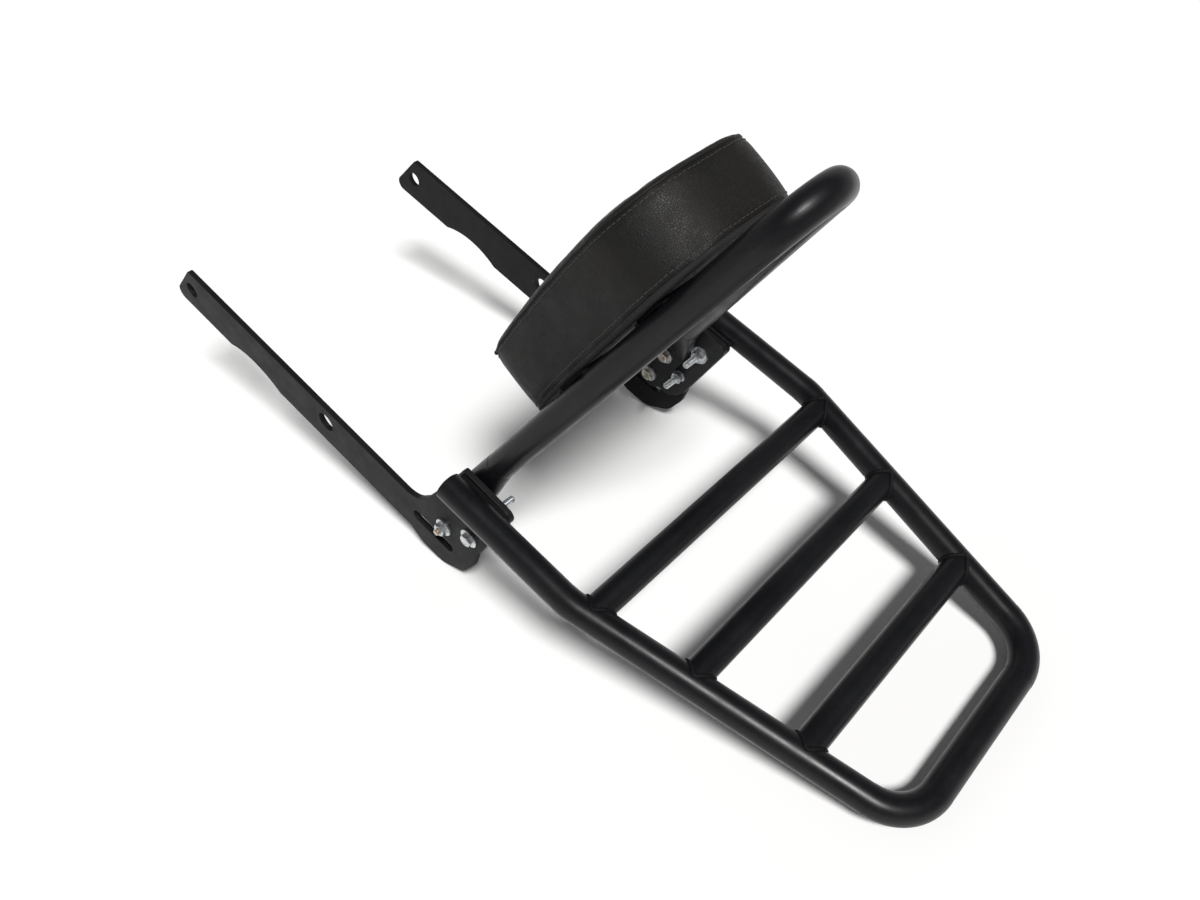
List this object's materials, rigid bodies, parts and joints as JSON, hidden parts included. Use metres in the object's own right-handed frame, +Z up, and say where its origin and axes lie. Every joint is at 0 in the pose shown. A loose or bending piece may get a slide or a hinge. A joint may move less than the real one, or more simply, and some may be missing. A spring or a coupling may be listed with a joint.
{
  "type": "motorbike sissy bar",
  "caption": "Black sissy bar with a luggage rack: flat side arms, bent tube rack with cross bars, leaning hoop and padded backrest.",
  "frame": {"origin": "front_holes", "axes": "X left across the bike, Y rearward, Z up and square to the rack"},
  "size_m": [0.3136, 0.7715, 0.4361],
  "materials": {
    "frame_paint": "satin black powder coat on steel",
    "arm_paint": "matte dark grey-black powder coat on steel plate",
    "zinc": "bright zinc plated steel",
    "board": "unfinished plywood",
    "piping": "black leatherette over cord",
    "cover": "black grained leatherette, soft sheen"
  },
  "bodies": {
    "root": {"arm_plate_left": "arm_paint", "arm_plate_right": "arm_paint", "hoop_plate_left": "frame_paint", "hoop_plate_right": "frame_paint", "rack_loop_tube": "frame_paint", "cross_bar_front": "frame_paint", "cross_bar_middle": "frame_paint", "cross_bar_rear": "frame_paint", "rack_end_caps": "frame_paint", "backrest_hoop": "frame_paint", "plate_bolts_left": "zinc", "plate_bolts_right": "zinc", "leg_bolts_left": "zinc", "leg_bolts_right": "zinc", "plate_washers_left": "zinc", "plate_washers_right": "zinc", "leg_washers_left": "zinc", "leg_washers_right": "zinc", "plate_nuts_left": "zinc", "plate_nuts_right": "zinc", "leg_nuts_left": "zinc", "leg_nuts_right": "zinc", "pad_strap_upper": "frame_paint", "pad_strap_lower": "frame_paint", "strap_screws_upper": "zinc", "strap_screws_lower": "zinc", "strap_washers": "zinc", "tee_nuts": "zinc", "pad_board": "board", "pad_piping_front": "piping", "pad_piping_rear": "piping", "pad_cushion": "cover"}
  },
  "joints": []
}
